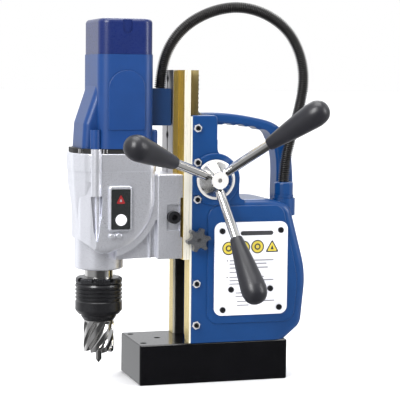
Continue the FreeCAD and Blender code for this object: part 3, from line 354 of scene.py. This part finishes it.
TINT_LOW = 0.93  # how dark the grain makes a colour
METAL_DRIFT = 0.02
ROUGH_DRIFT = 0.05
DIRECTION_GRAIN = 0.05
PAINTED_LIGHT_FACING = (-0.6, -0.8)  # that axis of the normal, where a face's painted light starts and is full
EVERYWHERE = 1.0  # an x beyond every piece
SLIDE_HIGHLIGHT_FRONT = -0.0275  # the front part of the slide plate's sides gets a painted highlight, the rest doesn't


def tinted(tree, fine, colour):
    low = tuple(c * TINT_LOW for c in colour)
    return ramp(tree, fine, [(NOISE_LOW, low), (NOISE_HIGH, colour)])


def painted_light_by_direction(name, colours, metals, rough, grain, stretch=None, front=EVERYWHERE):
    """One metal with painted light: its -X faces get a painted reflection and its -Y faces a
    painted highlight, apart from the rest.

    colours and metals are for the -X faces, the -Y faces and the other faces. The painted highlight
    of the
    -Y faces is used only where x is less than front.
    """
    material, tree, shader, where = new_material(name)
    fine = noise(tree, where, grain, GRAIN_DETAIL, stretch)
    geometry = tree.nodes.new("ShaderNodeNewGeometry")
    normal_x, normal_y = split_axes(tree, geometry.outputs["Normal"])[:2]
    forward = calculate(tree, "LESS_THAN", split_axes(tree, where)[0], front)
    colour = tinted(tree, fine, colours[2])
    metal = spread(tree, fine, metals[2] - METAL_DRIFT, metals[2])
    # Painted light: the -Y faces get a painted highlight and the -X faces a painted reflection,
    # each with its own colour and metalness.
    for side, own, painted_light_metal in ((normal_y, colours[1], metals[1]),
                                 (normal_x, colours[0], metals[0])):
        painted_light_mask = map_range(tree, side, PAINTED_LIGHT_FACING, (0.0, 1.0))
        if side is normal_y:
            tree.links.new(forward, painted_light_mask.inputs["To Max"])
        share = painted_light_mask.outputs["Result"]
        colour = mix(tree, "RGBA", share, colour, tinted(tree, fine, own))
        metal = mix(tree, "FLOAT", share, metal,
                    spread(tree, fine, painted_light_metal - METAL_DRIFT, painted_light_metal))
    tree.links.new(colour, shader.inputs["Base Color"])
    tree.links.new(metal, shader.inputs["Metallic"])
    tree.links.new(spread(tree, fine, rough - ROUGH_DRIFT, rough + ROUGH_DRIFT),
                   shader.inputs["Roughness"])
    bump(tree, shader, fine, DIRECTION_GRAIN)
    return material


CHANNEL_LIMITS = ((0, -0.0262, -0.0080), (1, -0.0262, 0.0215))  # axis, lowest, highest
# painted shade of the guide channel, from its darkest to its lightest
CHANNEL_SHADE_DARK, CHANNEL_SHADE_LIGHT = (0.012, 0.012, 0.013), (0.022, 0.021, 0.022)
CHANNEL_SHADE_PATCH = 400


def paint_with_channel_shade():
    """The column's paint, with painted shade: the guide channel between the strips is painted near
    black.
    """
    material = finish_material("body_blue_column", **BODY_PAINT)
    tree = material.node_tree
    base = tree.nodes["Principled BSDF"].inputs["Base Color"]
    where = object_place(tree)
    axes = split_axes(tree, where)
    tests = []
    for axis, low, high in CHANNEL_LIMITS:
        tests.append(calculate(tree, "GREATER_THAN", axes[axis], low))
        tests.append(calculate(tree, "LESS_THAN", axes[axis], high))
    # painted shade: the channel between the strips is painted near black
    channel_shade = ramp(tree, noise(tree, where, CHANNEL_SHADE_PATCH),
                [(NOISE_LOW, CHANNEL_SHADE_DARK), (NOISE_HIGH, CHANNEL_SHADE_LIGHT)])
    paint = base.links[0].from_socket
    tree.links.new(mix(tree, "RGBA", combine(tree, "MULTIPLY", tests), paint, channel_shade), base)
    return material


# Painted light: the slide's -Y faces are painted pale cream as a highlight, its -X faces a brighter
# gold as a painted reflection.
MATERIALS["slide_gold_painted_light"] = painted_light_by_direction(
    "slide_gold_painted_light", [(0.70, 0.50, 0.10), (0.90, 0.86, 0.74), (0.62, 0.50, 0.24)], [0.75, 0.35, 0.9],
    rough=0.30, grain=1200, stretch=BRUSHED_Z, front=SLIDE_HIGHLIGHT_FRONT)
# Painted light: the strips' -Y faces are painted pale cream as a highlight, their -X faces a
# lighter gold as a painted reflection.
MATERIALS["strip_gold_painted_light"] = painted_light_by_direction(
    "strip_gold_painted_light", [(0.80, 0.64, 0.26), (0.95, 0.92, 0.80), (0.72, 0.58, 0.26)], [0.7, 0.3, 0.9],
    rough=0.30, grain=1200, stretch=BRUSHED_Z)
# Painted highlight: the hub's -Y faces are painted whiter and less metallic.
MATERIALS["hub_chrome_painted_light"] = painted_light_by_direction(
    "hub_chrome_painted_light", [(0.83, 0.82, 0.80), (0.90, 0.88, 0.85), (0.83, 0.82, 0.80)], [1.0, 0.35, 1.0],
    rough=0.10, grain=1500)
# Painted highlight: the nuts' -Y faces are painted lighter and less metallic, their -X faces
# lighter.
MATERIALS["nut_steel_painted_light"] = painted_light_by_direction(
    "nut_steel_painted_light", [(0.8, 0.8, 0.8), (0.80, 0.80, 0.82), (0.72, 0.72, 0.74)], [0.9, 0.4, 0.95],
    rough=0.22, grain=1500)
MATERIALS["blue_with_channel_shade"] = paint_with_channel_shade()
NODE_MATERIAL = {  # the nodes that look different from their slot
    "slide_bar": "bar_steel", "slide_plate": "slide_gold_painted_light", "guide_strips": "strip_gold_painted_light",
    "feed_hub": "hub_chrome_painted_light", "lock_knob": "star_grey", "chuck_body": "dark_steel",
    "gib_lock_nuts": "nut_steel_painted_light", "body_column": "blue_with_channel_shade",
}


def dress_nodes():
    """Gives every CAD node its material."""
    slots = {s["node"]: s["material_slot"] for s in frame["record"]["subparts"]}
    for name, node in NODES.items():
        material = MATERIALS[NODE_MATERIAL.get(name, slots[name])]
        node.data.materials.clear()
        node.data.materials.append(material)


# ---------------------------------------------------------------- camera


CAMERA_TARGET = Vector((-0.0051, 0.0, 0.18682))
CAMERA_PLACE = Vector((-0.44894, -1.44146, 0.31528))
CAMERA_ROLL = math.radians(0.568)
CAMERA_LENS = 129.2
SENSOR_WIDTH = 36.0


def make_camera():
    """Looks from the feed side, a little from the spindle's side and a little above."""
    data = bpy.data.cameras.new("camera")
    data.sensor_width = SENSOR_WIDTH
    data.lens = CAMERA_LENS
    camera = link("camera", data)
    level = looking(CAMERA_PLACE, CAMERA_TARGET)
    camera.matrix_world = level @ Matrix.Rotation(CAMERA_ROLL, 4, "Z")
    bpy.context.scene.camera = camera


# ---------------------------------------------------------------- conduit


CONDUIT_D = 0.0115
RIB_PITCH = 0.0020
RIB_DEPTH = 0.0015
RIB_SHAPE = [  # (share of the pitch, depth below the full radius)
    (0.0, RIB_DEPTH), (0.26, RIB_DEPTH), (0.40, 0.0001), (0.60, 0.0), (0.86, 0.0001),
]
HOSE_SIDES = 28
ROUTE_STEPS = 24
ROUTE_ORDER = 3
CONDUIT_MEETING = (0.02233, -0.00661, 0.38821)
CONDUIT_FRONT = [
    (-0.0500, 0.0, 0.3040),
    (-0.0484, -0.0003, 0.3270),
    (-0.0382, -0.0014, 0.3530),
    (-0.0187, -0.0030, 0.3734),
    (0.0085, -0.0053, 0.3864),
    CONDUIT_MEETING,
]
CONDUIT_REAR = [
    CONDUIT_MEETING,
    (0.0360, -0.0079, 0.3900),
    (0.0625, -0.0106, 0.3832),
    (0.0855, -0.0136, 0.3670),
    (0.0990, -0.0165, 0.3425),
    (0.1032, -0.0188, 0.3150),
    (0.0974, -0.0209, 0.2845),
    (0.0864, -0.0230, 0.2510),
    (0.0804, -0.0240, 0.2260),
    (0.0795, -0.0240, 0.2070),
]


def route_line(name, points):
    """The points of a smooth NURBS line along the route."""
    curve = bpy.data.curves.new(name, "CURVE")
    curve.dimensions = "3D"
    curve.resolution_u = ROUTE_STEPS
    spline = curve.splines.new("NURBS")
    spline.points.add(len(points) - 1)
    for point, (x, y, z) in zip(spline.points, points):
        point.co = (x, y, z, 1.0)
    spline.order_u = ROUTE_ORDER
    spline.use_endpoint_u = True
    holder = link(name, curve)
    bpy.context.view_layer.update()
    graph = bpy.context.evaluated_depsgraph_get()
    mesh = bpy.data.meshes.new_from_object(holder.evaluated_get(graph))
    line = [v.co.copy() for v in mesh.vertices]
    bpy.data.objects.remove(holder)
    bpy.data.meshes.remove(mesh)
    return line


def along(line, distance):
    """The point at a distance along the line, and the line's direction there."""
    for a, b in zip(line, line[1:]):
        run = (b - a).length
        if distance <= run:
            return a.lerp(b, distance / run if run > 0 else 0), (b - a).normalized()
        distance -= run
    return line[-1].copy(), (line[-1] - line[-2]).normalized()


def line_length(line):
    """The whole length of a line of points."""
    return sum((b - a).length for a, b in zip(line, line[1:]))


def ribbed_tube(name, line):
    """A hose of round ribs, one every RIB_PITCH."""
    length = line_length(line)
    ribs = round(length / RIB_PITCH)
    stations = [((k + share) * length / ribs, drop)
                for k in range(ribs) for share, drop in RIB_SHAPE]
    bm = bmesh.new()
    side = Vector((0, 1, 0))
    rings = []
    for distance, drop in stations + [(length, RIB_DEPTH)]:
        centre, ahead = along(line, distance)
        u = (side - ahead * side.dot(ahead)).normalized()
        v = ahead.cross(u)
        r = CONDUIT_D / 2 - drop
        rings.append([bm.verts.new(centre + (u * x + v * y) * r) for x, y in circle(1, HOSE_SIDES)])
    for low, high in zip(rings, rings[1:]):
        bridge(bm, low, high)
    bm.faces.new(rings[0])
    bm.faces.new(rings[-1])
    piece = mesh_piece(name, bm, MATERIALS["conduit_black"])
    return piece, length


def make_conduit():
    """One hose in two lengths, which meet at the top of its arch."""
    line = route_line("conduit_front_line", CONDUIT_FRONT)
    front, length = ribbed_tube("conduit_hose_front", line)
    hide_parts("conduit_front")
    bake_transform(front)
    line = route_line("conduit_rear_line", CONDUIT_REAR)
    rear, length = ribbed_tube("conduit_hose_rear", line)
    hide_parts("conduit_rear")
    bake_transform(rear)


# ---------------------------------------------------------------- feed handles


HUB = Vector((-0.002, -0.043, 0.2115))
HANDLE_ANGLES = (160.3, 40.3, -79.7)
HANDLE_TILT = math.radians(33)
KNOB_START = 0.069
GRIP_OUTLINE = [  # (radius, along) in mm, from the hub's side to the round end
    (6.0, 0.0), (6.35, 0.35), (6.5, 1.2), (6.75, 2.4), (6.9, 3.0), (8.1, 12), (9.5, 22.5),
    (10.9, 34), (12.0, 45), (12.8, 53.5), (12.95, 58.2), (12.2, 63.2), (10.7, 67.2),
    (8.1, 70.2), (4.9, 72.0), (2.2, 72.6), (0.0, 72.7),
]
GRIP_STEPS = 6
GRIP_CREASE = 60


def handle_direction(angle):
    """Where a handle points, from its angle round the hub."""
    a = math.radians(angle)
    flat = math.cos(HANDLE_TILT)
    return Vector((math.cos(a) * flat, -math.sin(HANDLE_TILT), math.sin(a) * flat))


def make_knobs():
    """Tapered grips with a collar and a full round end."""
    knots = [Vector((r, a, 0)) * MM for r, a in GRIP_OUTLINE]
    profile = [(0.0, 0.0)] + [(max(0.0, p.x), p.y) for p in spline_points(knots, GRIP_STEPS)]
    for i, angle in enumerate(HANDLE_ANGLES):
        d = handle_direction(angle)
        place = Matrix.Translation(HUB + d * KNOB_START) @ axes_for(d)
        bm = bmesh.new()
        lathe(bm, profile, place)
        knob = make_piece(f"handle_grip_{i + 1}", bm, "feed_hub",
                          MATERIALS["knob_black"], GRIP_CREASE)
        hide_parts(f"handle_knob_{i + 1}")


# ---------------------------------------------------------------- annular cutter


SPINDLE_X = -0.114
CUTTER_OUT, CUTTER_ROOT, CUTTER_IN = 15.75 * MM, 13.1 * MM, 11.4 * MM  # radii
CUTTER_LOW, CUTTER_HIGH = 0.0312, 0.0640
CUTTER_CREASE = 32
FLUTES = 8
FLUTE_LEAD = math.radians(84)  # how far a flute turns from the teeth to the top
FLUTE_STEPS = 44
FLUTE_SEGMENTS = 160
FLUTE_END = 0.90  # the flutes run out above this share of the height
LAND = 0.46  # the share of a flute's pitch that keeps the full radius
WALL_IN, WALL_OUT = 3.2, 2.2  # how steep the flute's two walls are
TOOTH_HIGH = 2.4 * MM
TOOTH_FADE = 6
GULLET_RISE = 1.9
SHANK = [  # (radius, height) in mm of the top disc and the shank
    (3.3, 54), (3.3, 94.8), (9.2, 94.8), (9.5, 94.2), (9.5, 66), (10.2, 65), (15.2, 64.6),
    (15.6, 64.2), (15.6, 63.5), (11.4, 63.5), (11.4, 54.5), (3.3, 54),
]


def flute_radius(phase):
    """The outer radius at a phase of one flute, from 0 to 1: land, then flute."""
    if phase < LAND:
        return CUTTER_OUT
    x = (phase - LAND) / (1 - LAND)
    depth = min(1.0, WALL_IN * x) * min(1.0, WALL_OUT * (1 - x))
    return CUTTER_OUT - (CUTTER_OUT - CUTTER_ROOT) * depth


def cutter_rings(bm, h):
    """The outer and the inner ring at a share h of the cutter's height."""
    ring_out, ring_in = [], []
    fade = min(1.0, max(0.0, (h - FLUTE_END) / (1 - FLUTE_END)))
    tooth = (1 - h) ** TOOTH_FADE * TOOTH_HIGH
    for k in range(FLUTE_SEGMENTS):
        a = 2 * math.pi * k / FLUTE_SEGMENTS
        phase = (a * FLUTES / (2 * math.pi)) % 1.0
        turn = a + FLUTE_LEAD * h
        r = flute_radius(phase)
        r = r + (CUTTER_OUT - r) * fade
        z = CUTTER_LOW + (CUTTER_HIGH - CUTTER_LOW) * h
        z += tooth * (phase if phase < LAND else LAND + (phase - LAND) * GULLET_RISE)
        c, s = math.cos(turn), math.sin(turn)
        ring_out.append(bm.verts.new((SPINDLE_X + r * c, r * s, z)))
        ring_in.append(bm.verts.new((SPINDLE_X + CUTTER_IN * c, CUTTER_IN * s, z)))
    return ring_out, ring_in


def make_cutter():
    """A tubular cutter with eight helical flutes, gullets and raked teeth."""
    bm = bmesh.new()
    levels = [cutter_rings(bm, j / FLUTE_STEPS) for j in range(FLUTE_STEPS + 1)]
    outer, inner = zip(*levels)
    for rings in (outer, inner):
        for low, high in zip(rings, rings[1:]):
            bridge(bm, low, high)
    bridge(bm, outer[0], inner[0])
    bridge(bm, outer[-1], inner[-1])
    place = Matrix.Translation((SPINDLE_X, 0, 0))
    lathe(bm, [(r * MM, z * MM) for r, z in SHANK], place)
    cutter = make_piece("cutter_fluted", bm, "spindle", MATERIALS["bright_steel"],
                        CUTTER_CREASE)
    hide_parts("annular_cutter")


# ---------------------------------------------------------------- printed plates
# The outlines are (x, z) in mm, on faces that look along -Y.


COVER_FACE = -0.0430
LABEL_FACE = -0.0449
PRINT_RISE = 0.09
PRINT_SINK = 0.05
PRINT_CREASE = 30
DISC_SEGMENTS = 48
CORNER_STEPS = (0.0, 0.25, 0.5, 0.75, 1.0)


def raised(bm, outline, face, rise=PRINT_RISE):
    """A thin printed shape that stands rise mm out of a face."""
    front = [bm.verts.new((x * MM, face - rise * MM, z * MM)) for x, z in outline]
    back = [bm.verts.new((x * MM, face + PRINT_SINK * MM, z * MM)) for x, z in outline]
    bm.faces.new(front)
    bm.faces.new(back)
    bridge(bm, front, back)


def disc(cx, cz, r, count=DISC_SEGMENTS):
    """A round outline."""
    return [(cx + x, cz + z) for x, z in circle(r, count)]


def band(bm, cx, cz, r_in, r_out, count=DISC_SEGMENTS):
    """A thin printed ring on the cover plate."""
    high, low = COVER_FACE - INK_RISE * MM, COVER_FACE + PRINT_SINK * MM
    rings = []
    for r, y in ((r_in, low), (r_in, high), (r_out, high), (r_out, low)):
        rings.append([bm.verts.new((x * MM, y, z * MM)) for x, z in disc(cx, cz, r, count)])
    for a, b in zip(rings, rings[1:] + rings[:1]):
        bridge(bm, a, b)


def pill(x0, x1, z, high):
    """A bar with round ends."""
    r = high / 2
    points = []
    for cx, start in ((x1 - r, -90), (x0 + r, 90)):
        for degrees in range(start, start + 181, 30):
            a = math.radians(degrees)
            points.append((cx + r * math.cos(a), z + r * math.sin(a)))
    return points


def triangle(cx, low, wide, high, r):
    """A triangle with its point up and its corners rounded by r."""
    corners = [Vector((cx - wide / 2, low)), Vector((cx + wide / 2, low)), Vector((cx, low + high))]
    points = []
    for i, p in enumerate(corners):
        a = (corners[i - 1] - p).normalized()
        b = (corners[(i + 1) % 3] - p).normalized()
        for t in CORNER_STEPS:
            q = (p + a * 2 * r).lerp(p, t).lerp(p.lerp(p + b * 2 * r, t), t)
            points.append((q.x, q.y))
    return points


TITLE_BAR = (26.0, 62.0, 155.3, 4.6)
BADGES = [(13.2, 140.0), (29.4, 140.6), (44.7, 141.1)]  # the centres of the round ones
BADGE_RIM, BADGE_FACE, BADGE_MARK = (5.9, 7.1), 5.95, (1.9, 3.4)
MARK_SEGMENTS = 32
INK_RISE, DISC_RISE = 0.11, 0.08
SIGN_LAYERS = [  # (centre, foot, width, height, corner) of the triangle sign, from the back
    (60.8, 135.0, 15.2, 13.4, 1.2), (60.8, 136.2, 11.0, 9.8, 0.9), (60.8, 137.8, 3.6, 4.6, 0.4),
]
SIGN_RISES = (0.07, 0.10, 0.13)
LABEL_SIGN = (-102.0, 188.2, 9.6, 9.6, 1.0)
LABEL_MARK = (-102.0, 190.2, 2.8, 3.4, 0.3)
LABEL_MARK_RISE = 0.13
LABEL_DISC = (-101.6, 171.9, 5.8)
TEXT_BARS = [  # (x0, x1, z) of each line of blank print
    (14.2, 62.6, 127.0), (14.2, 55.0, 123.5), (14.2, 56.5, 119.4), (14.2, 30.0, 114.9),
    (14.2, 52.0, 109.7), (14.2, 62.8, 106.2), (14.2, 40.0, 102.7),
    (21.0, 52.0, 93.2), (21.0, 44.0, 89.6),
    (22.8, 64.0, 84.2), (22.8, 36.0, 80.2),
]
TEXT_HIGH = 1.35
TEXT_RISE = 0.06
BULLET_X, BULLET_R, BULLET_SEGMENTS = 11.8, 0.75, 16
BULLETS_Z = (127.0, 109.7)


def print_cover():
    """The blank title, badges and lines of the cover plate."""
    dark, yellow, grey = bmesh.new(), bmesh.new(), bmesh.new()
    raised(dark, pill(*TITLE_BAR), COVER_FACE)
    for x, z in BADGES:
        band(dark, x, z, *BADGE_RIM)
        raised(yellow, disc(x, z, BADGE_FACE), COVER_FACE, DISC_RISE)
        band(dark, x, z, *BADGE_MARK, MARK_SEGMENTS)
    for ink, layer, rise in zip((dark, yellow, dark), SIGN_LAYERS, SIGN_RISES):
        raised(ink, triangle(*layer), COVER_FACE, rise)
    for x0, x1, z in TEXT_BARS:
        raised(grey, pill(x0, x1, z, TEXT_HIGH), COVER_FACE, TEXT_RISE)
    for z in BULLETS_Z:
        raised(dark, disc(BULLET_X, z, BULLET_R, BULLET_SEGMENTS), COVER_FACE, TEXT_RISE)
    make_piece("cover_print_dark", dark, "frame", MATERIALS["print_grey"],
               PRINT_CREASE)
    make_piece("cover_print_yellow", yellow, "frame", MATERIALS["badge_yellow"],
               PRINT_CREASE)
    make_piece("cover_print_lines", grey, "frame", MATERIALS["print_pale"],
               PRINT_CREASE)


def print_label():
    """The blank badge and the disc of the head's label."""
    red, pale, grey = bmesh.new(), bmesh.new(), bmesh.new()
    raised(red, triangle(*LABEL_SIGN), LABEL_FACE)
    raised(grey, triangle(*LABEL_MARK), LABEL_FACE, LABEL_MARK_RISE)
    raised(pale, disc(*LABEL_DISC), LABEL_FACE)
    make_piece("label_badge", red, "head", MATERIALS["badge_red"], PRINT_CREASE)
    make_piece("label_mark", grey, "head", MATERIALS["print_pale"], PRINT_CREASE)
    make_piece("label_disc", pale, "head", MATERIALS["plate_white"], PRINT_CREASE)


# ---------------------------------------------------------------- stage


# The light of the studio's walls and roof: (axis, where it starts, where it is full, strength)
GLOWS = [(2, 0.05, 0.75, 0.55), (0, -0.35, -0.85, 0.27), (0, 0.45, 0.95, 0.35), (1, 0.2, 0.9, 0.8)]
GLOW_BASE = 0.06
STUDIO_TINT = (0.97, 0.98, 1.0, 1)
BACKDROP = (1.0, 1.0, 1.0, 1)
FLOOR_HALF = 30.0
FLOOR_DROP = 0.0001
LIGHTS_TARGET = (0, 0, 0.2)
LIGHTS = [  # (name, place, width and height, watts)
    ("key", (-1.0, -1.0, 1.0), (0.6, 0.9), 22),
    ("fill", (1.3, -0.9, 0.7), (0.5, 0.9), 9),
    ("rim", (0.4, 1.2, 1.2), (1.0, 0.5), 8),
]
SUN_POWER = 2.4
SUN_ANGLE = math.radians(50)


def glow(tree, value, start, full, strength):
    """Light that rises smoothly from none at start to strength at full."""
    node = map_range(tree, value, (start, full), (0.0, strength))
    node.interpolation_type = "SMOOTHSTEP"
    return node.outputs["Result"]


def make_world():
    """A white studio, dim on the feed side and below, so glossy parts keep dark reflections.

    The camera sees a plain white backdrop instead of it.
    """
    world = bpy.data.worlds.new("studio")
    world.use_nodes = True
    tree = world.node_tree
    seen = tree.nodes["Background"]
    seen.inputs["Color"].default_value = BACKDROP
    seen.inputs["Strength"].default_value = 1.0
    lit = tree.nodes.new("ShaderNodeBackground")
    lit.inputs["Color"].default_value = STUDIO_TINT
    coords = tree.nodes.new("ShaderNodeTexCoord")
    axes = split_axes(tree, coords.outputs["Generated"])
    glows = [glow(tree, axes[axis], start, full, power) for axis, start, full, power in GLOWS]
    total = calculate(tree, "ADD", combine(tree, "ADD", glows), GLOW_BASE)
    tree.links.new(total, lit.inputs["Strength"])
    path = tree.nodes.new("ShaderNodeLightPath")
    choice = tree.nodes.new("ShaderNodeMixShader")
    tree.links.new(path.outputs["Is Camera Ray"], choice.inputs[0])
    tree.links.new(lit.outputs[0], choice.inputs[1])
    tree.links.new(seen.outputs[0], choice.inputs[2])
    tree.links.new(choice.outputs[0], tree.nodes["World Output"].inputs["Surface"])
    bpy.context.scene.world = world
    bpy.context.scene.view_settings.view_transform = "Standard"


def make_stage():
    """A plain pale floor just under the magnet, which glossy parts don't reflect."""
    bm = bmesh.new()
    bmesh.ops.create_grid(bm, x_segments=2, y_segments=2, size=FLOOR_HALF)
    mesh = bpy.data.meshes.new("floor")
    bm.to_mesh(mesh)
    bm.free()
    floor = link("floor", mesh)
    floor.location.z = -FLOOR_DROP
    floor.visible_glossy = False
    material = finish_material("floor_pale", (0.90, 0.90, 0.91), 0.70, vary=0.005, patch=2.0,
                               grain=200, grain_depth=0.01)
    mesh.materials.append(material)


def make_lights():
    """Three soft boxes and a wide soft sun from straight above."""
    for name, place, size, power in LIGHTS:
        data = bpy.data.lights.new(name, "AREA")
        data.shape = "RECTANGLE"
        data.size, data.size_y = size
        data.energy = power
        link(name, data).matrix_world = looking(place, LIGHTS_TARGET)
    data = bpy.data.lights.new("overhead", "SUN")
    data.energy = SUN_POWER
    data.angle = SUN_ANGLE
    link("overhead", data)


make_camera()
make_conduit()
dress_nodes()
make_knobs()
make_cutter()
print_cover()
print_label()
make_world()
make_stage()
make_lights()
